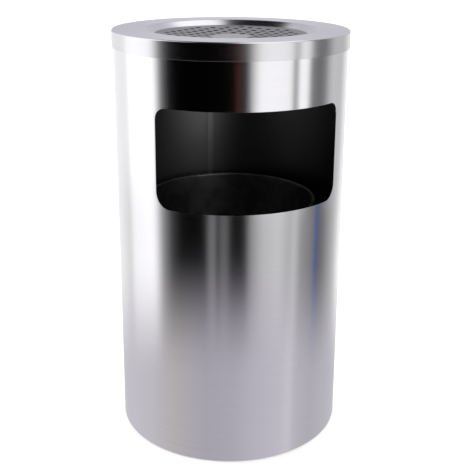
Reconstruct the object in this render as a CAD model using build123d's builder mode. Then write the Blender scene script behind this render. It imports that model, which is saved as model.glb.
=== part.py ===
# Cylindrical ash and litter bin: a rolled steel body with a side slot, a lift-off lid whose
# dished middle carries an ash pan and a perforated plate, and a lift-out bucket inside.
# Millimetres, +Z up. Origin: centre of the feet's resting plane. The slot faces -Y.

import os
from math import acos, cos, degrees, pi, radians, sin

from build123d import *

# ---- driving dimensions ----

total_height = 610.0
body_radius = 170.0
body_sheet = 1.0
hem_height = 12.0
lap_width = 9.0
sheet_fit = 0.1  # radial play of one sheet-metal piece inside another

slot_drop = 90.5  # from the lid's top down to the slot's upper edge
slot_height = 140.0
slot_half_angle = 48.2
slot_top_corner = 17.0
slot_bottom_corner = 23.0

foot_height = 8.0
foot_radius = 15.0
foot_edge = 1.5
foot_inset = 30.0
shell_floor_gap = 1.5
base_sheet = 1.2
base_bend = 3.0

screw_radius = 2.0
screw_play = 0.2
screw_head_radius = 4.0
screw_head_height = 2.4
screw_tip = 1.2
screw_pocket_play = 1.0
screw_pocket_depth = 3.6
washer_radius = 4.5
washer_thickness = 0.8
nut_flats = 7.0
nut_height = 3.2
nut_play = 0.05

lid_sheet = 1.2
lid_skirt_play = 1.4
lid_skirt_depth = 24.4
lid_edge_radius = 2.5
lid_ring_width = 47.6
lid_lip_radius = 4.5
dish_depth = 9.0
dish_run = 11.6
dish_bend = 1.2
ledge_width = 9.0

pan_sheet = 0.8
pan_play = 0.4
pan_drop_play = 2.0
pan_depth = 40.0
pan_taper = 5.0
pan_bend = 2.0
pan_corner = 10.0

sieve_sheet = 1.0
sieve_play = 0.4
sieve_seat_play = 0.8
sieve_dip = 5.0
sieve_centre_radius = 22.0
sieve_hole_radius = 4.2
sieve_column_pitch = 11.3
sieve_row_pitch = 24.0
sieve_hole_margin = 2.5

bucket_sheet = 0.8
bucket_top_radius = 125.0
bucket_taper = 13.0
bucket_rim_drop = 22.5  # from the slot's lower edge down to the rim
bucket_collar = 46.0
bucket_skirt = 10.0
bucket_floor_lift = 6.0
bucket_floor_bend = 2.0
bucket_seam_width = 6.0
bucket_seam_angle = 66.0  # from +X towards +Y, seen from above
rim_wire_radius = 2.5
rim_wire_play = 0.1

ear_sheet = 1.5
ear_width = 24.0
ear_length = 32.0
ear_rim_gap = 1.5
ear_corner = 5.0
rivet_radius = 2.0
rivet_play = 0.05
rivet_head_radius = 4.0
rivet_head_height = 1.6
rivet_spread = 6.0
rivet_rise = 7.0

bail_wire_radius = 2.5
bail_pin_play = 0.05
bail_pin_drop = 10.0
bail_rest_gap = 0.3
bail_rim_play = 0.6
bail_ear_gap = 0.6
bail_tip_gap = 0.8
bail_head_radius = 4.2
bail_head_length = 1.5

# ---- places worked out from the dimensions ----

body_inner = body_radius - body_sheet
lid_underside = total_height - lid_sheet
foot_circle = body_radius - foot_inset
lid_radius = body_radius + lid_skirt_play + lid_sheet
lid_hole_radius = lid_radius - lid_ring_width
ledge_outer = lid_hole_radius - dish_run
ledge_inner = ledge_outer - ledge_width
ledge_top = total_height - dish_depth
pan_rim_top = ledge_top + pan_sheet
pan_rim_radius = ledge_outer - dish_bend - pan_play
pan_wall_radius = ledge_inner - pan_drop_play
pan_mouth_radius = pan_wall_radius - pan_sheet
sieve_rim_top = pan_rim_top + sieve_sheet
sieve_radius = pan_rim_radius - sieve_play
sieve_dish_radius = pan_mouth_radius - sieve_seat_play
slot_top = total_height - slot_drop
slot_bottom = slot_top - slot_height
base_top = foot_height + base_sheet
bucket_rim_height = slot_bottom - bucket_rim_drop
bucket_base_radius = bucket_top_radius - bucket_taper
bucket_inner = bucket_top_radius - bucket_sheet
curl_radius = rim_wire_radius + rim_wire_play + bucket_sheet
curl_circle = bucket_inner + curl_radius
curl_height = bucket_rim_height - curl_radius
curl_outer = curl_circle + curl_radius
ear_inner = bucket_top_radius + rivet_play
ear_outer = ear_inner + ear_sheet
ear_top = curl_height - curl_radius - ear_rim_gap
ear_bottom = ear_top - ear_length
rivet_height = ear_bottom + rivet_rise
rivet_seat = ear_outer + rivet_play
rivet_tail = (bucket_inner**2 - rivet_head_radius**2) ** 0.5 - rivet_play
rivet_grip = rivet_seat - rivet_tail
bail_height = ear_top - bail_pin_drop
bail_side = curl_outer + bail_wire_radius + bail_rim_play
bail_bend = bail_side - ear_outer - bail_ear_gap
bail_reach = bail_bend + bail_side
bail_rest_reach = bucket_top_radius + bail_wire_radius + bail_rest_gap
bail_rest_angle = acos(bail_rest_reach / bail_reach)

os.makedirs("parts", exist_ok=True)


def save(part, name):
    part.label = name
    export_step(part, f"parts/{name}.step")


def band(inner, outer, low, high, middle_angle, width):
    """Curved strip of a tube wall: radii, heights, middle angle in degrees, arc width in mm."""
    turn = degrees(width / outer)
    with BuildPart() as strip:
        with BuildSketch(Plane.XZ):
            with Locations(((inner + outer) / 2, (low + high) / 2)):
                Rectangle(outer - inner, high - low)
        revolve(axis=Axis.Z, revolution_arc=turn)
    return strip.part.rotate(Axis.Z, middle_angle - turn / 2)


# ---- body ----

# The slot's cutter is a piece of a ring, with its radial edges rounded.
cutter_depth = 20 * body_sheet
slot_arc = 2 * radians(slot_half_angle) * body_radius
with BuildPart() as slot_cutter:
    with BuildSketch(Plane.XZ):
        with Locations((body_radius, (slot_bottom + slot_top) / 2)):
            Rectangle(cutter_depth, slot_height)
    revolve(axis=Axis.Z, revolution_arc=2 * slot_half_angle)
    corner_edges = slot_cutter.edges().filter_by(GeomType.LINE).filter_by(Axis.Z, reverse=True)
    fillet(corner_edges.group_by(Axis.Z)[-1], slot_top_corner)
    corner_edges = slot_cutter.edges().filter_by(GeomType.LINE).filter_by(Axis.Z, reverse=True)
    fillet(corner_edges.group_by(Axis.Z)[0], slot_bottom_corner)
slot_tool = slot_cutter.part.rotate(Axis.Z, -90 - slot_half_angle)

lap_strip = band(
    body_inner - body_sheet, body_inner, base_top + sheet_fit, lid_underside, 90, lap_width
)

with BuildPart() as body_shell:
    with BuildSketch(Plane.XZ):
        with BuildLine():
            Polyline(
                (body_inner, shell_floor_gap),
                (body_radius, shell_floor_gap),
                (body_radius, lid_underside),
                (body_inner - body_sheet, lid_underside),
                (body_inner - body_sheet, lid_underside - hem_height),
                (body_inner, lid_underside - hem_height),
                close=True,
            )
        make_face()
    revolve(axis=Axis.Z)
    add(lap_strip)
    add(slot_tool, mode=Mode.SUBTRACT)
save(body_shell.part, "body_shell")

# ---- base plate with its feet and fasteners ----

foot_places = PolarLocations(foot_circle, 4, start_angle=45)

with BuildPart() as base_plate:
    with BuildSketch(Plane.XZ):
        with BuildLine():
            FilletPolyline(
                (0, base_top),
                (body_inner - sheet_fit, base_top),
                (body_inner - sheet_fit, shell_floor_gap),
                radius=base_bend,
            )
            offset(amount=base_sheet, side=Side.RIGHT)
        make_face()
    revolve(axis=Axis.Z)
    with BuildSketch(Plane.XY.offset(foot_height)):
        with foot_places:
            Circle(screw_radius + screw_play)
    extrude(amount=base_sheet, mode=Mode.SUBTRACT)
save(base_plate.part, "base_plate")

with BuildPart() as foot:
    with BuildSketch(Plane.XY):
        Circle(foot_radius)
    extrude(amount=foot_height)
    chamfer(foot.edges().group_by(Axis.Z)[0], foot_edge)
    with BuildSketch(Plane.XY):
        Circle(screw_head_radius + screw_pocket_play)
    extrude(amount=screw_pocket_depth, mode=Mode.SUBTRACT)
    with BuildSketch(Plane.XY):
        Circle(screw_radius + screw_play)
    extrude(amount=foot_height, mode=Mode.SUBTRACT)

foot_names = ["rear_right", "rear_left", "front_left", "front_right"]
for foot_name, place in zip(foot_names, foot_places.locations):
    with BuildPart() as placed_foot:
        with Locations(place):
            add(foot.part)
    save(placed_foot.part, f"foot_{foot_name}")

nut_bottom = base_top + washer_thickness
with BuildPart() as foot_screws:
    with BuildSketch(Plane.XY.offset(screw_pocket_depth)):
        with foot_places:
            Circle(screw_radius)
    extrude(amount=nut_bottom + nut_height + screw_tip - screw_pocket_depth)
    with BuildSketch(Plane.XY.offset(screw_pocket_depth - screw_head_height)):
        with foot_places:
            Circle(screw_head_radius)
    extrude(amount=screw_head_height)
    head_edges = foot_screws.edges().group_by(Axis.Z)[0]
    fillet(head_edges, screw_head_height / 3)
save(foot_screws.part, "foot_screws")

with BuildPart() as foot_washers:
    with BuildSketch(Plane.XY.offset(base_top)):
        with foot_places:
            Circle(washer_radius)
            Circle(screw_radius + screw_play, mode=Mode.SUBTRACT)
    extrude(amount=washer_thickness)
save(foot_washers.part, "foot_washers")

with BuildPart() as foot_nuts:
    with BuildSketch(Plane.XY.offset(nut_bottom)):
        with foot_places:
            RegularPolygon(nut_flats / 2, 6, major_radius=False)
            Circle(screw_radius + nut_play, mode=Mode.SUBTRACT)
    extrude(amount=nut_height)
save(foot_nuts.part, "foot_nuts")

# ---- lid, ash pan and perforated plate ----

with BuildPart() as lid:
    with BuildSketch(Plane.XZ):
        with BuildLine():
            FilletPolyline(
                (lid_radius, total_height - lid_skirt_depth),
                (lid_radius, total_height),
                (lid_hole_radius, total_height),
                (ledge_outer, ledge_top),
                (ledge_inner, ledge_top),
                radius=[lid_edge_radius, lid_lip_radius, dish_bend],
            )
            offset(amount=lid_sheet, side=Side.LEFT)
        make_face()
    revolve(axis=Axis.Z)
save(lid.part, "lid")

with BuildPart() as ash_pan:
    with BuildSketch(Plane.XZ):
        with BuildLine():
            FilletPolyline(
                (pan_rim_radius, pan_rim_top),
                (pan_mouth_radius, pan_rim_top),
                (pan_mouth_radius - pan_taper, pan_rim_top - pan_depth),
                (0, pan_rim_top - pan_depth),
                radius=[pan_bend, pan_corner],
            )
            offset(amount=pan_sheet, side=Side.LEFT)
        make_face()
    revolve(axis=Axis.Z)
save(ash_pan.part, "ash_pan")

sieve_hole_reach = sieve_dish_radius - sieve_hole_radius - sieve_hole_margin
sieve_hole_start = sieve_centre_radius + sieve_hole_radius + sieve_hole_margin
column_count = int(sieve_hole_reach // sieve_column_pitch)
row_count = int(sieve_hole_reach // sieve_row_pitch) + 1
sieve_holes = []
for column in range(-column_count, column_count + 1):
    stagger = sieve_row_pitch / 2 if column % 2 else 0
    for row in range(-row_count, row_count + 1):
        x, y = column * sieve_column_pitch, row * sieve_row_pitch + stagger
        if sieve_hole_start <= (x * x + y * y) ** 0.5 <= sieve_hole_reach:
            sieve_holes.append((x, y))

with BuildPart() as sieve_plate:
    with BuildSketch(Plane.XZ):
        with BuildLine():
            Polyline(
                (0, sieve_rim_top - sieve_dip),
                (sieve_centre_radius, sieve_rim_top - sieve_dip),
                (sieve_dish_radius, sieve_rim_top),
                (sieve_radius, sieve_rim_top),
            )
            offset(amount=sieve_sheet, side=Side.RIGHT)
        make_face()
    revolve(axis=Axis.Z)
    with BuildSketch(Plane.XY.offset(sieve_rim_top)):
        with Locations(*sieve_holes):
            Circle(sieve_hole_radius)
    extrude(amount=-(sieve_dip + 2 * sieve_sheet), mode=Mode.SUBTRACT)
save(sieve_plate.part, "sieve_plate")

# ---- bucket ----

seam_strip = band(
    bucket_inner - bucket_sheet, bucket_inner, bucket_rim_height - bucket_collar,
    curl_height, bucket_seam_angle, bucket_seam_width,
)

with BuildPart() as rivet:
    with BuildSketch(Plane.XZ):
        with BuildLine():
            Polyline(
                (0, -rivet_grip - rivet_head_height),
                (rivet_head_radius / 2, -rivet_grip - rivet_head_height),
                (rivet_head_radius, -rivet_grip),
                (rivet_radius, -rivet_grip),
                (rivet_radius, 0),
                (rivet_head_radius, 0),
                (rivet_head_radius / 2, rivet_head_height),
                (0, rivet_head_height),
                close=True,
            )
        make_face()
    revolve(axis=Axis.Z)

rivet_turn = degrees(rivet_spread / bucket_top_radius)
rivet_places = []
for side_angle in (0, 180):
    for turn in (side_angle - rivet_turn, side_angle + rivet_turn):
        outward = (cos(radians(turn)), sin(radians(turn)), 0)
        seat = (
            rivet_seat * outward[0],
            rivet_seat * outward[1],
            rivet_height,
        )
        rivet_places.append(Plane(origin=seat, x_dir=(0, 0, 1), z_dir=outward))

with BuildPart() as bucket_wall:
    with BuildSketch(Plane.XZ):
        with BuildLine():
            Polyline(
                (bucket_base_radius, base_top),
                (bucket_base_radius, base_top + bucket_skirt),
                (bucket_top_radius, bucket_rim_height - bucket_collar),
                (bucket_top_radius, curl_height),
            )
            offset(amount=bucket_sheet, side=Side.LEFT)
        make_face()
        with Locations((curl_circle, curl_height)):
            Circle(curl_radius)
            Circle(rim_wire_radius + rim_wire_play, mode=Mode.SUBTRACT)
    revolve(axis=Axis.Z)
    add(seam_strip)
    with BuildSketch(*rivet_places):
        Circle(rivet_radius + rivet_play)
    extrude(amount=-rivet_grip, mode=Mode.SUBTRACT)
    with BuildSketch(Plane.YZ):
        with Locations((0, bail_height)):
            Circle(bail_wire_radius + bail_pin_play)
    extrude(amount=ear_outer, both=True, mode=Mode.SUBTRACT)
save(bucket_wall.part, "bucket_wall")

bucket_floor_radius = bucket_base_radius - bucket_sheet - sheet_fit
with BuildPart() as bucket_floor:
    with BuildSketch(Plane.XZ):
        with BuildLine():
            FilletPolyline(
                (0, base_top + bucket_floor_lift),
                (bucket_floor_radius, base_top + bucket_floor_lift),
                (bucket_floor_radius, base_top),
                radius=bucket_floor_bend,
            )
            offset(amount=bucket_sheet, side=Side.RIGHT)
        make_face()
    revolve(axis=Axis.Z)
save(bucket_floor.part, "bucket_floor")

with BuildPart() as bucket_rim_wire:
    with BuildSketch(Plane.XZ):
        with Locations((curl_circle, curl_height)):
            Circle(rim_wire_radius)
    revolve(axis=Axis.Z)
save(bucket_rim_wire.part, "bucket_rim_wire")

for ear_name, side in (("ear_right", 1), ("ear_left", -1)):
    with BuildPart() as ear:
        with BuildSketch(Plane.XY.offset(ear_bottom)):
            Circle(ear_outer)
            Circle(ear_inner, mode=Mode.SUBTRACT)
        extrude(amount=ear_length)
        with BuildSketch(Plane.YZ):
            with Locations((0, (ear_bottom + ear_top) / 2)):
                RectangleRounded(ear_width, ear_length, ear_corner)
            with Locations((0, bail_height)):
                Circle(bail_wire_radius + bail_pin_play, mode=Mode.SUBTRACT)
        extrude(amount=side * (ear_outer + ear_sheet), mode=Mode.INTERSECT)
        with BuildSketch(*rivet_places):
            Circle(rivet_radius + rivet_play)
        extrude(amount=-rivet_grip, mode=Mode.SUBTRACT)
    save(ear.part, ear_name)

with BuildPart() as ear_rivets:
    with Locations(*rivet_places):
        add(rivet.part)
save(ear_rivets.part, "ear_rivets")

# The bail's ends turn inwards through the ears and the wall. Its bow hangs forwards and down,
# until it rests on the outside of the wall.
bail_pin_start = bucket_inner - bail_tip_gap - bail_head_length
bail_pin_end = bail_side - bail_bend
bail_plane = Plane(
    origin=(0, 0, bail_height),
    x_dir=(1, 0, 0),
    z_dir=(0, -sin(bail_rest_angle), cos(bail_rest_angle)),
)
with BuildPart() as bail:
    with BuildLine(bail_plane) as bail_path:
        right_pin = Line((bail_pin_start, 0), (bail_pin_end, 0))
        right_bend = RadiusArc((bail_pin_end, 0), (bail_side, -bail_bend), bail_bend)
        bow = ThreePointArc((bail_side, -bail_bend), (0, -bail_reach), (-bail_side, -bail_bend))
        left_bend = RadiusArc((-bail_side, -bail_bend), (-bail_pin_end, 0), bail_bend)
        left_pin = Line((-bail_pin_end, 0), (-bail_pin_start, 0))
    with BuildSketch(Plane(origin=(bail_pin_start, 0, bail_height), z_dir=(1, 0, 0))):
        Circle(bail_wire_radius)
    sweep(path=bail_path.wires()[0])
    for side in (1, -1):
        with BuildSketch(Plane.YZ.offset(side * bail_pin_start)):
            with Locations((0, bail_height)):
                Circle(bail_head_radius)
        extrude(amount=side * bail_head_length)
save(bail.part, "bail")

print(f"bail swing: {180 + 2 * degrees(bail_rest_angle):.1f} deg")
print(f"holes in the perforated plate: {len(sieve_holes)}")
print(f"slot width along the wall: {slot_arc:.1f} mm, opening angle {2 * slot_half_angle:.1f} deg")
mean_radius = (bucket_base_radius + bucket_top_radius) / 2
print(f"bucket capacity: {pi * mean_radius**2 * bucket_rim_height / 1e6:.1f} l")
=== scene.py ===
from math import cos, pi, radians, sin, tan

import bpy
from mathutils import Matrix, Vector


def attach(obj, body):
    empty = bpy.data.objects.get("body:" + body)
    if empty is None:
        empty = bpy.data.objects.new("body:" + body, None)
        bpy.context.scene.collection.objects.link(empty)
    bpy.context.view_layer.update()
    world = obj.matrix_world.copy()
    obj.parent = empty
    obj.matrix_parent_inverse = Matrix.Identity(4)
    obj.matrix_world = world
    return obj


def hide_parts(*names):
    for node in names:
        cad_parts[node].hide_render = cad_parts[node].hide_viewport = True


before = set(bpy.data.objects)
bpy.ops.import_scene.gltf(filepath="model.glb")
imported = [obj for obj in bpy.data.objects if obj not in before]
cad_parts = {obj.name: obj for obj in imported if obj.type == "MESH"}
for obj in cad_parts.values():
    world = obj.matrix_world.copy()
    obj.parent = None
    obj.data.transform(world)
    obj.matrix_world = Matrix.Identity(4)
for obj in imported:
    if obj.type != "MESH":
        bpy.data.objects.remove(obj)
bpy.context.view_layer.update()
print("frame loaded,", len(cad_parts), "nodes")

mm = 0.001


def pick(piece=None):
    if bpy.context.mode != "OBJECT":
        bpy.ops.object.mode_set(mode="OBJECT")
    bpy.ops.object.select_all(action="DESELECT")
    if piece:
        piece.select_set(True)
        bpy.context.view_layer.objects.active = piece


def applyModifier(piece, kind, **settings):
    pick(piece)
    bpy.ops.object.modifier_add(type=kind)
    modifier = piece.modifiers[-1]
    for key, value in settings.items():
        setattr(modifier, key, value)
    bpy.ops.object.modifier_apply(modifier=modifier.name)


# Small rounds on the sharp edges, so that they catch the light.
def softenEdges(piece, width, segments=2):
    applyModifier(
        piece, "BEVEL", width=width * mm, segments=segments, limit_method="ANGLE", angle_limit=radians(60)
    )


def finishPiece(piece, name, body, material, smoothAngle=35):
    pick(piece)
    bpy.ops.object.shade_smooth_by_angle(angle=radians(smoothAngle))
    applyModifier(piece, "WEIGHTED_NORMAL", mode="FACE_AREA", keep_sharp=True)
    bpy.ops.object.transform_apply(location=True, rotation=True, scale=True)
    piece.name = name
    piece.data.name = name
    piece.data.materials.clear()
    piece.data.materials.append(material)
    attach(piece, body)
    return piece


# Rounds the corners of a drawn line: corners are (point, radius), in mm, radius and height.
def roundCorners(corners, stepDegrees=15):
    line = []
    for number, (point, radius) in enumerate(corners):
        here = Vector(point)
        if not radius or number in (0, len(corners) - 1):
            line.append(here)
            continue
        back = (Vector(corners[number - 1][0]) - here).normalized()
        ahead = (Vector(corners[number + 1][0]) - here).normalized()
        half = back.angle(ahead) / 2
        middle = here + (back + ahead).normalized() * (radius / sin(half))
        start = here + back * (radius / tan(half)) - middle
        end = here + ahead * (radius / tan(half)) - middle
        turn = start.angle_signed(end)
        steps = max(2, round(abs(turn) / radians(stepDegrees)))
        for step in range(steps + 1):
            line.append(middle + Matrix.Rotation(-turn * step / steps, 2) @ start)
    return line


# Draws a line of radius and height points in the XZ plane, one extrusion after another.
def drawLine(points, closed=False):
    pick()
    bpy.ops.mesh.primitive_plane_add(size=mm)
    piece = bpy.context.active_object
    bpy.ops.object.mode_set(mode="EDIT")
    bpy.ops.mesh.select_mode(type="VERT")
    bpy.ops.mesh.select_all(action="SELECT")
    bpy.ops.mesh.merge(type="CENTER")
    last = Vector((0, 0, 0))
    for number, point in enumerate(points):
        place = Vector((point[0] * mm, 0, point[1] * mm))
        if number == 0:
            bpy.ops.transform.translate(value=place - last)
        else:
            bpy.ops.mesh.extrude_region_move(TRANSFORM_OT_translate={"value": place - last})
        last = place
    if closed:
        bpy.ops.mesh.select_all(action="SELECT")
        bpy.ops.object.mode_set(mode="OBJECT")
        ends = (0, len(piece.data.vertices) - 1)
        for vertex in piece.data.vertices:
            vertex.select = vertex.index in ends
        bpy.ops.object.mode_set(mode="EDIT")
        bpy.ops.mesh.edge_face_add()
        bpy.ops.mesh.select_all(action="SELECT")
        bpy.ops.mesh.delete(type="ONLY_FACE")
    return piece


# Spins the drawn line round the axis and welds the join and the pole.
def spinLine(piece, steps):
    bpy.ops.mesh.select_all(action="SELECT")
    bpy.ops.mesh.spin(steps=steps, angle=2 * pi, center=(0, 0, 0), axis=(0, 0, 1))
    bpy.ops.mesh.select_all(action="SELECT")
    bpy.ops.mesh.remove_doubles(threshold=0.00002)
    bpy.ops.mesh.normals_make_consistent(inside=False)
    bpy.ops.object.mode_set(mode="OBJECT")
    return piece


# Flat rounded plate in XZ, bent round the axis so that it faces -Y. Used for strips and cutters.
def bentPlate(width, low, high, radius, thickness, turnDegrees=0, lowCorner=0, highCorner=0, cuts=48):
    corners = [((0, low), 0), ((width / 2, low), lowCorner), ((width / 2, high), highCorner), ((0, high), 0)]
    points = [tuple(point) for point in roundCorners(corners, 7.5)]
    points += [(-x, z) for x, z in reversed(points[1:-1])]
    piece = drawLine(points, closed=True)
    bpy.ops.mesh.select_all(action="SELECT")
    bpy.ops.mesh.edge_face_add()
    for number in range(1, cuts):
        place = width * mm * (number / cuts - 0.5)
        bpy.ops.mesh.select_all(action="SELECT")
        bpy.ops.mesh.bisect(plane_co=(place, 0, 0), plane_no=(1, 0, 0))
    bpy.ops.mesh.select_all(action="SELECT")
    bpy.ops.mesh.normals_make_consistent(inside=False)
    bpy.ops.object.mode_set(mode="OBJECT")
    applyModifier(piece, "SOLIDIFY", thickness=thickness * mm, offset=0)
    applyModifier(piece, "SIMPLE_DEFORM", deform_method="BEND", deform_axis="Z", angle=width / radius)
    pick(piece)
    bpy.ops.object.mode_set(mode="EDIT")
    bpy.ops.mesh.select_all(action="SELECT")
    bpy.ops.transform.translate(value=(0, -radius * mm, 0))
    bpy.ops.mesh.normals_make_consistent(inside=False)
    bpy.ops.object.mode_set(mode="OBJECT")
    piece.rotation_euler = (0, 0, radians(turnDegrees))
    bpy.ops.object.transform_apply(location=True, rotation=True, scale=True)
    return piece


def cutWith(piece, cutter):
    applyModifier(piece, "BOOLEAN", operation="DIFFERENCE", solver="EXACT", object=cutter)
    bpy.data.objects.remove(cutter)


# A wrapped socket: arithmetic on it adds Math nodes to its tree.
class Wire:
    def __init__(self, sheet, socket):
        self.sheet = sheet
        self.socket = socket

    def maths(self, operation, *others):
        return self.sheet.node("Math", {"operation": operation}, dict(enumerate((self, *others))))

    def swapped(self, operation, other):
        return self.sheet.node("Math", {"operation": operation}, {0: other, 1: self})

    def __add__(self, other):
        return self.maths("ADD", other)

    __radd__ = __add__

    def __sub__(self, other):
        return self.maths("SUBTRACT", other)

    def __rsub__(self, other):
        return self.swapped("SUBTRACT", other)

    def __mul__(self, other):
        return self.maths("MULTIPLY", other)

    __rmul__ = __mul__

    def __truediv__(self, other):
        return self.maths("DIVIDE", other)

    # 0 below low, 1 above high, eased between; low may be the larger of the two
    def between(self, low, high):
        return self.sheet.node(
            "MapRange",
            {"interpolation_type": "SMOOTHSTEP"},
            {"Value": self, "From Min": low, "From Max": high},
        )


# One node tree, of a material or of the world.
class Sheet:
    def __init__(self, tree):
        self.tree = tree
        tree.nodes.clear()

    def node(self, kind, settings=None, inputs=None, output=0):
        node = self.tree.nodes.new("ShaderNode" + kind)
        for key, value in (settings or {}).items():
            if key == "stops":
                marks = node.color_ramp.elements
                marks.remove(marks[-1])
                marks[0].position, marks[0].color = value[0]
                for place, colour in value[1:]:
                    marks.new(place).color = colour
            else:
                setattr(node, key, value)
        for key, value in (inputs or {}).items():
            if isinstance(value, Wire):
                self.tree.links.new(value.socket, node.inputs[key])
            else:
                node.inputs[key].default_value = value
        return Wire(self, node.outputs[output]) if node.outputs else node

    def blend(self, factor, first, second):
        return self.node(
            "Mix", {"data_type": "RGBA"}, {"Factor": factor, 6: first, 7: second}, 2
        )


# Display tone, 0 to 255, to scene light.
def tone(red, green=None, blue=None):
    values = (red, red if green is None else green, red if blue is None else blue)
    linear = [
        ((value / 255 + 0.055) / 1.055) ** 2.4 if value > 10 else value / 255 / 12.92
        for value in values
    ]
    return (*linear, 1)


def newFinish(name):
    material = bpy.data.materials.new(name)
    material.use_nodes = True
    return material, Sheet(material.node_tree)


def closeFinish(sheet, constants, linked):
    shader = sheet.node("BsdfPrincipled", None, {**constants, **linked})
    sheet.node("OutputMaterial", None, {"Surface": shader})


# Angle round the axis in radians (the join is at the back), radius and height in metres.
def roundTheAxis(sheet):
    place = sheet.node("TexCoord", output=3)
    x, y, z = (sheet.node("SeparateXYZ", None, {0: place}, number) for number in range(3))
    angle = x.maths("ARCTAN2", 0 - y)
    radius = (x * x + y * y).maths("SQRT")
    return place, angle, radius, z


def combine(sheet, x, y, z):
    return sheet.node("CombineXYZ", None, {0: x, 1: y, 2: z})


def noise(sheet, vector, scale, detail=2.0, roughness=0.5):
    return sheet.node(
        "TexNoise", None, {"Vector": vector, "Scale": scale, "Detail": detail, "Roughness": roughness}
    )


def bump(sheet, height, distance, strength=1.0, normal=None):
    inputs = {"Height": height, "Distance": distance, "Strength": strength}
    if normal:
        inputs["Normal"] = normal
    return sheet.node("Bump", None, inputs)


# The rear seam, in mm: pitch of the welds along it, and how far they lie to each side.
welds = {"wallRadius": 170, "pitch": 38, "aside": 5}


# Brushed sheet: long fine grain lines, soft dents, and a little uneven polish.
def brushedSheet(name, look, flatGrain=False, weldMarks=False):
    material, sheet = newFinish(name)
    place, angle, radius, height = roundTheAxis(sheet)
    across = radius if flatGrain else height
    fine = combine(sheet, angle * look["grainRun"], 0.0, across * look["grainFine"])
    broad = combine(sheet, angle * 0.8, 3.0, across * look["grainBroad"])
    grain = noise(sheet, fine, 1.0, 3.0)
    bands = noise(sheet, broad, 1.0, 2.0)
    cloud = noise(sheet, place, look["cloudScale"], 2.0)
    uneven = look["grainShade"] * (grain + bands - 1) + look["cloudShade"] * (cloud - 0.5)
    shade = look["shade"] * (1 + uneven)
    if weldMarks:
        # mm from the join round the wall, and from the nearest weld along it
        side = (1 - angle.maths("ABSOLUTE") / pi) * (pi * welds["wallRadius"])
        along = ((height * 1000 / welds["pitch"]).maths("FRACT") - 0.5) * welds["pitch"]
        seam = 1 - side.between(0.25, 0.8)
        spot = (side - welds["aside"]) * (side - welds["aside"]) + along * along
        shade = shade * (1 - 0.55 * seam) * (1 - 0.12 * (1 - spot.between(2.0, 9.0)))
    # Painted dark reflection: the plate's sheet is painted darker outside its plain centre.
    if "ash" in look:
        shade = shade * (1 - look["ash"] * radius.between(look["ashFrom"], look["ashFull"]))
    tint = look["tint"]
    warm = sheet.node("CombineColor", None, {0: shade * tint[0], 1: shade * tint[1], 2: shade * tint[2]})
    rough = look["rough"] + look["roughGrain"] * (grain - 0.5) + look["roughCloud"] * (cloud - 0.5)
    relief = bump(sheet, noise(sheet, place, look["dentScale"], 1.0), look["dentDepth"] * mm)
    if weldMarks:
        relief = bump(sheet, 1 - spot.between(0.5, 7.0), -0.12 * mm, 1.0, relief)
        relief = bump(sheet, seam, -0.2 * mm, 1.0, relief)
    relief = bump(sheet, grain, look["grainDepth"] * mm, 1.0, relief)
    closeFinish(
        sheet,
        {"Metallic": 1.0, "Anisotropic": look["stretch"], "Anisotropic Rotation": look["stretchTurn"]},
        {"Base Color": warm, "Roughness": rough, "Normal": relief},
    )
    return material


bodyLook = {
    "shade": 0.74, "tint": (1.0, 0.985, 1.02), "grainRun": 2.5, "grainFine": 1500, "grainBroad": 260,
    "grainShade": 0.05, "cloudScale": 5, "cloudShade": 0.04, "rough": 0.12, "roughGrain": 0.03,
    "roughCloud": 0.03, "dentScale": 6, "dentDepth": 0.2, "grainDepth": 0.0015, "stretch": 0.8,
    "stretchTurn": 0.0,
}
lidLook = {**bodyLook, "shade": 0.66, "grainRun": 3.0, "rough": 0.16, "dentDepth": 0.1}
# The pan's colour is darkened for soot and as painted shade under the plate.
panLook = {**bodyLook, "shade": 0.34, "rough": 0.5, "stretch": 0.3, "dentDepth": 0.1}
# The plate's colour is painted darker outside the plain centre, a painted dark reflection.
plateLook = {
    **bodyLook, "shade": 0.52, "ash": 0.5, "ashFrom": 0.026, "ashFull": 0.034, "rough": 0.38,
    "stretch": 0.2, "tint": (1.0, 0.985, 0.97), "dentDepth": 0.1,
}
# Inner side: dull mill finish, its colour darkened as painted shade inside the bin; the lap strip's painted
# shade is a little less dark.
millAndShadeLook = {**bodyLook, "shade": 0.33, "grainRun": 1.0, "grainFine": 300, "rough": 0.44, "stretch": 0.0}
# Soot and painted shade for the plate's hole walls and underside.
sootAndShadeLook = {**bodyLook, "shade": 0.07, "rough": 0.6, "stretch": 0.0}

brushedBody = brushedSheet("brushedBody", bodyLook, weldMarks=True)
brushedLid = brushedSheet("brushedLid", lidLook)
drawnPan = brushedSheet("drawnPan", panLook, flatGrain=True)
platePlain = brushedSheet("perforatedPlate", plateLook, flatGrain=True)
millAndShadeInside = brushedSheet("millAndShadeInside", millAndShadeLook)
lapInside = brushedSheet("lapInside", {**millAndShadeLook, "shade": 0.46})
sootAndPaintedShade = brushedSheet("sootAndShadeEdge", sootAndShadeLook, flatGrain=True)

# Hot-dip coat: flat crystals of uneven grey with dull patches.
galvanisedLook = {"pale": 0.36, "dark": 0.31, "spangle": 75, "rough": 0.36, "dull": 0.06}


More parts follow.
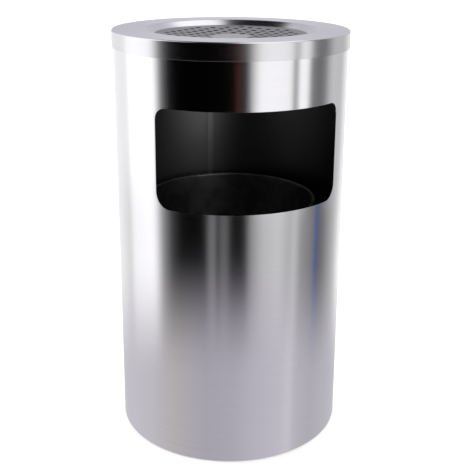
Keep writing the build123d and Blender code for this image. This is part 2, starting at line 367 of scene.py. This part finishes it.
def galvanisedSheet(name, look):
    material, sheet = newFinish(name)
    place = sheet.node("TexCoord", output=3)
    warp = noise(sheet, place, 60, 2.0)
    cell = sheet.node("TexVoronoi", None, {"Vector": place, "Scale": look["spangle"], "Randomness": 1.0}, 1)
    crystal = sheet.node("SeparateXYZ", None, {0: cell}, 0)
    cloud = noise(sheet, place, 14, 3.0)
    mixer = crystal * 0.55 + cloud * 0.35 + warp * 0.1
    dark = (look["dark"],) * 3 + (1,)
    pale = (look["pale"], look["pale"] * 1.01, look["pale"] * 1.02, 1)
    colour = sheet.blend(mixer.between(0.25, 0.75), dark, pale)
    rough = look["rough"] + look["dull"] * (cloud - 0.4) + 0.08 * crystal
    relief = bump(sheet, mixer, 0.03 * mm)
    closeFinish(sheet, {"Metallic": 1.0}, {"Base Color": colour, "Roughness": rough, "Normal": relief})
    return material


# Painted highlight: a much paler, smoother coat for the top of the bucket's rim.
rimHighlightLook = {**galvanisedLook, "pale": 0.86, "dark": 0.74, "rough": 0.26}
galvanised = galvanisedSheet("galvanised", galvanisedLook)
paintedRimHighlight = galvanisedSheet("paintedRimHighlight", rimHighlightLook)

# Small turned and plated things: bright zinc with a faint yellow cast.
zincLook = {"shade": 0.58, "rough": 0.28}
wireLook = {"shade": 0.46, "rough": 0.34}


def platedMetal(name, look):
    material, sheet = newFinish(name)
    place = sheet.node("TexCoord", output=3)
    mottle = noise(sheet, place, 240, 3.0)
    shade = look["shade"] * (0.92 + 0.16 * mottle)
    colour = sheet.node("CombineColor", None, {0: shade, 1: shade, 2: shade * 0.97})
    rough = look["rough"] + 0.12 * mottle
    relief = bump(sheet, mottle, 0.02 * mm)
    closeFinish(sheet, {"Metallic": 1.0}, {"Base Color": colour, "Roughness": rough, "Normal": relief})
    return material


zincPlated = platedMetal("zincPlated", zincLook)
drawnWire = platedMetal("drawnWire", wireLook)

rubberLook = {"shade": 0.025, "rough": 0.62}


def mouldedRubber(name, look):
    material, sheet = newFinish(name)
    place = sheet.node("TexCoord", output=3)
    grain = noise(sheet, place, 700, 2.0)
    dust = noise(sheet, place, 40, 2.0)
    shade = look["shade"] * (1 + 1.2 * dust.between(0.45, 0.8))
    colour = sheet.node("CombineColor", None, {0: shade, 1: shade, 2: shade})
    rough = look["rough"] + 0.2 * dust
    relief = bump(sheet, grain, 0.08 * mm)
    closeFinish(sheet, {}, {"Base Color": colour, "Roughness": rough, "Normal": relief})
    return material


rubber = mouldedRubber("footRubber", rubberLook)
print("finishes ready")

# Body shell: rolled sheet with a hemmed top and the slot cut in its side.

shell = {
    "radius": 170.0, "sheet": 1.0, "bottom": 1.5, "top": 608.8, "hemDepth": 12.0, "hemRound": 0.9,
    "slotLow": 379.5, "slotHigh": 519.5, "slotHalfAngle": 48.2, "slotLowCorner": 23.0,
    "slotHighCorner": 17.0, "steps": 384, "edge": 0.18, "lapWidth": 9.0,
    "rings": (90, 180, 270, 350, 545, 575, 603), "cutDepth": 20.0, "cutSteps": 128,
}


def makeShell():
    outer, inner = shell["radius"], shell["radius"] - shell["sheet"]
    fold = inner - shell["sheet"]
    corners = [
        ((inner, shell["bottom"]), 0), ((outer, shell["bottom"]), 0),
        ((outer, shell["top"]), shell["hemRound"]),
        ((fold, shell["top"]), shell["hemRound"]), ((fold, shell["top"] - shell["hemDepth"]), 0),
        ((inner, shell["top"] - shell["hemDepth"]), 0),
    ]
    piece = spinLine(drawLine(roundCorners(corners, 18), closed=True), shell["steps"])
    width = 2 * radians(shell["slotHalfAngle"]) * outer
    cutter = bentPlate(
        width, shell["slotLow"], shell["slotHigh"], outer, shell["cutDepth"],
        lowCorner=shell["slotLowCorner"], highCorner=shell["slotHighCorner"], cuts=shell["cutSteps"],
    )
    cutWith(piece, cutter)
    pick(piece)
    bpy.ops.object.mode_set(mode="EDIT")
    for level in shell["rings"]:
        bpy.ops.mesh.select_all(action="SELECT")
        bpy.ops.mesh.bisect(plane_co=(0, 0, level * mm), plane_no=(0, 0, 1))
    bpy.ops.object.mode_set(mode="OBJECT")
    softenEdges(piece, shell["edge"])
    finishPiece(piece, "bodyShell", "body", brushedBody)
    # the sheet's inner side keeps the dull mill finish, its colour darkened as painted shade inside the bin
    piece.data.materials.append(millAndShadeInside)
    for face in piece.data.polygons:
        inward = face.normal.x * face.center.x + face.normal.y * face.center.y
        face.material_index = 1 if inward < -0.9 * shell["radius"] * mm else 0
    return piece


bodyShell = makeShell()
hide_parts("body_shell")

lapRadius = shell["radius"] - 1.5 * shell["sheet"]
lapStrip = bentPlate(shell["lapWidth"], 9.4, 608.7 - shell["hemDepth"], lapRadius, 0.96, 180, cuts=6)
finishPiece(lapStrip, "bodyLap", "body", lapInside)
print("body shell ready")

# Lid: one pressing with skirt, ring, rounded lip, dish wall and ledge.

lid = {
    "radius": 172.6, "skirtLow": 585.6, "top": 610.0, "edgeRadius": 2.5, "hole": 125.0, "lip": 4.5,
    "ledgeOuter": 113.4, "ledgeTop": 601.0, "bend": 1.2, "ledgeInner": 104.4, "sheet": 1.2,
    "steps": 256, "edge": 0.2,
}


def makeLid():
    corners = [
        ((lid["radius"], lid["skirtLow"]), 0), ((lid["radius"], lid["top"]), lid["edgeRadius"]),
        ((lid["hole"], lid["top"]), lid["lip"]), ((lid["ledgeOuter"], lid["ledgeTop"]), lid["bend"]),
        ((lid["ledgeInner"], lid["ledgeTop"]), 0),
    ]
    piece = spinLine(drawLine(roundCorners(corners, 9)), lid["steps"])
    applyModifier(piece, "SOLIDIFY", thickness=lid["sheet"] * mm, offset=-1, use_even_offset=True)
    softenEdges(piece, lid["edge"])
    return finishPiece(piece, "lidPressing", "lid_unit", brushedLid)


lidPressing = makeLid()
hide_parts("lid")
print("lid ready")

# Ash pan: drawn from one sheet, its rim lying on the ledge.

pan = {
    "rim": 111.8, "rimTop": 601.8, "mouth": 101.6, "taper": 5.0, "depth": 40.0, "bend": 2.0,
    "corner": 10.0, "sheet": 0.8, "steps": 192, "edge": 0.15,
}


def makePan():
    floor = pan["rimTop"] - pan["depth"]
    corners = [
        ((pan["rim"], pan["rimTop"]), 0), ((pan["mouth"], pan["rimTop"]), pan["bend"]),
        ((pan["mouth"] - pan["taper"], floor), pan["corner"]), ((0, floor), 0),
    ]
    piece = spinLine(drawLine(roundCorners(corners, 9)), pan["steps"])
    applyModifier(piece, "SOLIDIFY", thickness=pan["sheet"] * mm, offset=-1, use_even_offset=True)
    softenEdges(piece, pan["edge"])
    return finishPiece(piece, "ashPan", "pan_unit", drawnPan)


ashPan = makePan()
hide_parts("ash_pan")
print("ash pan ready")

# Perforated plate: a shallow dish with a plain centre, its rim on the pan.

plate = {
    "radius": 111.4, "rimTop": 602.8, "dish": 100.8, "dip": 5.0, "centre": 22.0, "sheet": 1.0,
    "hole": 4.2, "column": 11.3, "row": 24.0, "nearest": 28.7, "furthest": 94.1, "steps": 128,
    "bend": 8.0, "edge": 0.3, "punchSides": 24, "punchDepth": 12.0,
}


def makePlate():
    low, high, sheetThick = plate["rimTop"] - plate["dip"], plate["rimTop"], plate["sheet"]
    bend, edge = plate["bend"], plate["edge"]
    corners = [
        ((0, low), 0), ((plate["centre"], low), bend), ((plate["dish"], high), bend),
        ((plate["radius"], high), edge), ((plate["radius"], high - sheetThick), edge),
        ((plate["dish"], high - sheetThick), bend), ((plate["centre"], low - sheetThick), bend),
        ((0, low - sheetThick), 0),
    ]
    piece = spinLine(drawLine(roundCorners(corners, 1)), plate["steps"])
    pick()
    columns = int(plate["furthest"] // plate["column"])
    rows = int(plate["furthest"] // plate["row"]) + 1
    bpy.ops.mesh.primitive_cylinder_add(
        vertices=plate["punchSides"], radius=plate["hole"] * mm, depth=plate["punchDepth"] * mm,
        location=(0, 0, low * mm),
    )
    punch = bpy.context.active_object
    punches = []
    for column in range(-columns, columns + 1):
        for row in range(-rows, rows + 1):
            x = column * plate["column"]
            y = row * plate["row"] + (plate["row"] / 2 if column % 2 else 0)
            if plate["nearest"] <= (x * x + y * y) ** 0.5 <= plate["furthest"]:
                copy = punch.copy()
                copy.data = punch.data.copy()
                copy.location = (x * mm, y * mm, low * mm)
                bpy.context.collection.objects.link(copy)
                punches.append(copy)
    bpy.data.objects.remove(punch)
    pick(punches[0])
    for copy in punches:
        copy.select_set(True)
    bpy.ops.object.join()
    cutWith(piece, bpy.context.active_object)
    finishPiece(piece, "perforatedPlate", "sieve_unit", platePlain, 30)
    # soot and painted shade darken the holes' walls and the underside
    piece.data.materials.append(sootAndPaintedShade)
    for face in piece.data.polygons:
        if face.normal.z < 0.6 and face.center.xy.length < (plate["furthest"] + plate["hole"] + 1) * mm:
            face.material_index = 1
    return piece


perforated = makePlate()
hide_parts("sieve_plate")
print("perforated plate ready")

# Bucket: tapered wall, collar, and the rim curled over its wire.

bucket = {
    "base": 112.0, "bottom": 9.2, "skirtTop": 19.2, "top": 125.0, "collarLow": 311.0, "curlHeight": 353.6,
    "curl": 3.4, "curlCircle": 127.6, "sheet": 0.8, "steps": 256, "edge": 0.12, "seamWidth": 6.0,
    "seamTurn": 156.0,
}


def makeBucket():
    line = [
        Vector((bucket["base"], bucket["bottom"])), Vector((bucket["base"], bucket["skirtTop"] - 0.5)),
        Vector((bucket["base"] + 0.03, bucket["skirtTop"] + 0.5)),
        Vector((bucket["top"] - 0.03, bucket["collarLow"] - 0.7)),
        Vector((bucket["top"], bucket["collarLow"] + 0.7)),
        Vector((bucket["top"], bucket["curlHeight"] - 1.2)),
    ]
    inner = bucket["curl"] - bucket["sheet"]
    for step in range(24):
        turn = pi - step * radians(14)
        out, up = inner * cos(turn), inner * sin(turn)
        line.append(Vector((bucket["curlCircle"] + out, bucket["curlHeight"] + up)))
    piece = spinLine(drawLine(line), bucket["steps"])
    applyModifier(piece, "SOLIDIFY", thickness=bucket["sheet"] * mm, offset=-1, use_even_offset=True)
    softenEdges(piece, bucket["edge"], 1)
    finishPiece(piece, "bucketWall", "bucket_unit", galvanised)
    # the top of the rim is painted paler, a painted highlight, and smoother
    piece.data.materials.append(paintedRimHighlight)
    for face in piece.data.polygons:
        if face.center.z > (bucket["curlHeight"] + 1.0) * mm:
            face.material_index = 1
    return piece


bucketWall = makeBucket()
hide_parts("bucket_wall")

seamRadius = bucket["top"] - 1.5 * bucket["sheet"]
bucketSeam = bentPlate(bucket["seamWidth"], 311.0, 353.0, seamRadius, 0.78, bucket["seamTurn"], cuts=4)
finishPiece(bucketSeam, "bucketSeam", "bucket_unit", galvanised)
print("bucket ready")

# Finishes of the pieces that stay as the frame has them, and of those replaced.

nodeFinishes = {
    "base_plate": galvanised, "bucket_floor": galvanised, "bucket_rim_wire": drawnWire,
    "ear_right": galvanised, "ear_left": galvanised, "ear_rivets": zincPlated, "bail": drawnWire,
    "foot_screws": zincPlated, "foot_washers": zincPlated, "foot_nuts": zincPlated,
    "foot_rear_right": rubber, "foot_rear_left": rubber, "foot_front_left": rubber,
    "foot_front_right": rubber, "body_shell": brushedBody, "lid": brushedLid, "ash_pan": drawnPan,
    "sieve_plate": platePlain, "bucket_wall": galvanised,
}
for nodeName, finish in nodeFinishes.items():
    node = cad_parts[nodeName]
    node.data.materials.clear()
    node.data.materials.append(finish)
print("frame finishes ready")

# Stage: pale floor, soft light, camera, and the studio that the steel mirrors.

stage = {"floorTone": 0.6, "floorGlow": 0.4, "floorDrop": 0.4, "floorRadius": 14,
    "lampPower": 3.2, "lampSpread": 100}


def makeFloor():
    pick()
    bpy.ops.mesh.primitive_circle_add(
        vertices=96, radius=stage["floorRadius"], fill_type="NGON", location=(0, 0, -stage["floorDrop"] * mm)
    )
    floor = bpy.context.active_object
    floor.name = "floor"
    material, sheet = newFinish("paleFloor")
    place = sheet.node("TexCoord", output=3)
    shade = stage["floorTone"] * (0.99 + 0.02 * noise(sheet, place, 3.0))
    colour = sheet.node("CombineColor", None, {0: shade, 1: shade, 2: shade})
    glow = {"Emission Color": (1, 1, 1, 1), "Emission Strength": stage["floorGlow"]}
    closeFinish(sheet, {"Roughness": 0.9, "Specular IOR Level": 0.1, **glow}, {"Base Color": colour})
    floor.data.materials.append(material)
    floor.visible_glossy = False


makeFloor()

cameraPlace = {
    "distance": 1.2539, "height": 0.7421, "side": 11.7, "pitch": 16.63, "yaw": 0.34, "roll": 0.39,
    "lens": 65.44, "shiftY": -0.1,
}

# The room that the steel mirrors: light and dark uprights by angle from the camera's side, in
# degrees, right positive. Tones are display tones; upper is the room, lower is nearer the floor.
roomUpper = [
    (-180, 225), (-140, 226), (-122, 228), (-115, 262), (-80, 262), (-70, 96), (-62, 12), (-55, 0),
    (4, 1), (7, (66, 32, 27)), (10, (40, 22, 19)), (12, 1), (16, 6), (21, 182), (28, 242), (60, 238),
    (63, 112), (66, 112), (69, 248), (79, 240), (83, 112), (96, 98), (104, 124), (109, 165), (116, 186),
    (136, 178), (150, 216), (180, 225),
]
roomLower = [
    (-180, 225), (-140, 220), (-122, 206), (-112, 240), (-82, 252), (-70, 130), (-60, 54), (-50, 8),
    (-24, 3), (-20, 108), (-15, 118), (-13, 22), (-11, 22), (-9, 96), (-3, 92), (0, 40), (3, 4),
    (15, 4), (20, 130), (32, 178), (50, 192), (61, 166), (68, 188), (75, 140), (92, 116),
    (97, (58, 82, 138)), (102, 96), (109, 112),
    (130, 172), (150, 225),
]
roomFloor = [
    (-180, 178), (-122, (186, 184, 190)), (-92, (184, 182, 186)), (-58, (172, 169, 169)),
    (-22, (162, 159, 168)), (5, (166, 163, 172)), (20, (174, 171, 180)), (56, (184, 181, 190)),
    (65, (194, 192, 198)),
    (74, (176, 174, 180)), (96, (168, 166, 172)), (122, (174, 173, 178)), (180, 178),
]
room = {
    "steelShade": 0.70, "ceilingTone": 258, "backTone": (184, 183, 191),
    "upperFades": (-13, -19), "lowerFades": (-21, -29), "overheadFades": (42, 52),
    "stripLeft": (-0.58, -0.42), "stripRight": (0.13, 0.02), "stripTone": 4,
}


def makeRoom():
    world = bpy.data.worlds.new("studio")
    bpy.context.scene.world = world
    world.use_nodes = True
    sheet = Sheet(world.node_tree)
    gain = 1 / room["steelShade"]
    look = sheet.node("TexCoord", output=0)
    x, y, z = (sheet.node("SeparateXYZ", None, {0: look}, number) for number in range(3))
    turn = radians(cameraPlace["side"])
    towards = x * -sin(turn) + y * -cos(turn)
    right = x * cos(turn) + y * -sin(turn)
    around = right.maths("ARCTAN2", towards) / (2 * pi) + 0.5
    rise = z.maths("ARCSINE") * (180 / pi)

    def uprights(stops):
        ramp = []
        for place, value in stops:
            colour = value if isinstance(value, tuple) else (value,)
            ramp.append(((place + 180) / 360, tone(*colour)))
        return sheet.node("ValToRGB", {"stops": ramp}, {0: around})

    lower = sheet.blend(rise.between(*room["lowerFades"]), uprights(roomLower), uprights(roomFloor))
    walls = sheet.blend(rise.between(*room["upperFades"]), uprights(roomUpper), lower)
    behind = (around - 0.5).maths("ABSOLUTE").between(0.38, 0.43) * rise.between(-3, 3)
    walls = sheet.blend(behind, walls, tone(*room["backTone"]))
    strip = right.between(*room["stripLeft"]) * right.between(*room["stripRight"])
    overhead = sheet.blend(strip, tone(room["ceilingTone"]), tone(room["stripTone"]))
    whole = sheet.blend(rise.between(*room["overheadFades"]), walls, overhead)
    mirrored = sheet.node("Background", None, {"Color": whole, "Strength": gain})
    plain = sheet.node("Background", None, {"Color": (1, 1, 1, 1), "Strength": 1.0})
    seen = sheet.node("LightPath", output=0)
    both = sheet.node("MixShader", None, {0: seen, 1: mirrored, 2: plain})
    sheet.node("OutputWorld", None, {"Surface": both})


makeRoom()


def makeLamp():
    data = bpy.data.lights.new("overheadSoft", "SUN")
    data.angle = radians(stage["lampSpread"])
    data.energy = stage["lampPower"]
    lamp = bpy.data.objects.new("overheadSoft", data)
    lamp.rotation_euler = (radians(-12), radians(-10), 0)
    lamp.visible_glossy = False
    bpy.context.scene.collection.objects.link(lamp)


makeLamp()


def makeCamera():
    data = bpy.data.cameras.new("camera")
    data.lens = cameraPlace["lens"]
    data.sensor_width = 36.0
    data.sensor_fit = "HORIZONTAL"
    data.shift_y = cameraPlace["shiftY"]
    data.clip_end = 100
    camera = bpy.data.objects.new("camera", data)
    pitch, yaw = radians(cameraPlace["pitch"]), radians(cameraPlace["yaw"])
    ahead = Vector((sin(yaw) * cos(pitch), cos(yaw) * cos(pitch), -sin(pitch)))
    right = Vector((cos(yaw), -sin(yaw), 0))
    up = right.cross(ahead)
    roll = radians(cameraPlace["roll"])
    tiltedRight = cos(roll) * right + sin(roll) * up
    tiltedUp = cos(roll) * up - sin(roll) * right
    place = Matrix.Translation((0, -cameraPlace["distance"], cameraPlace["height"]))
    facing = Matrix((tiltedRight, tiltedUp, -ahead)).transposed().to_4x4()
    camera.matrix_world = Matrix.Rotation(radians(-cameraPlace["side"]), 4, "Z") @ place @ facing
    bpy.context.scene.collection.objects.link(camera)
    bpy.context.scene.camera = camera


makeCamera()
bpy.context.scene.view_settings.view_transform = "Standard"
print("stage ready")
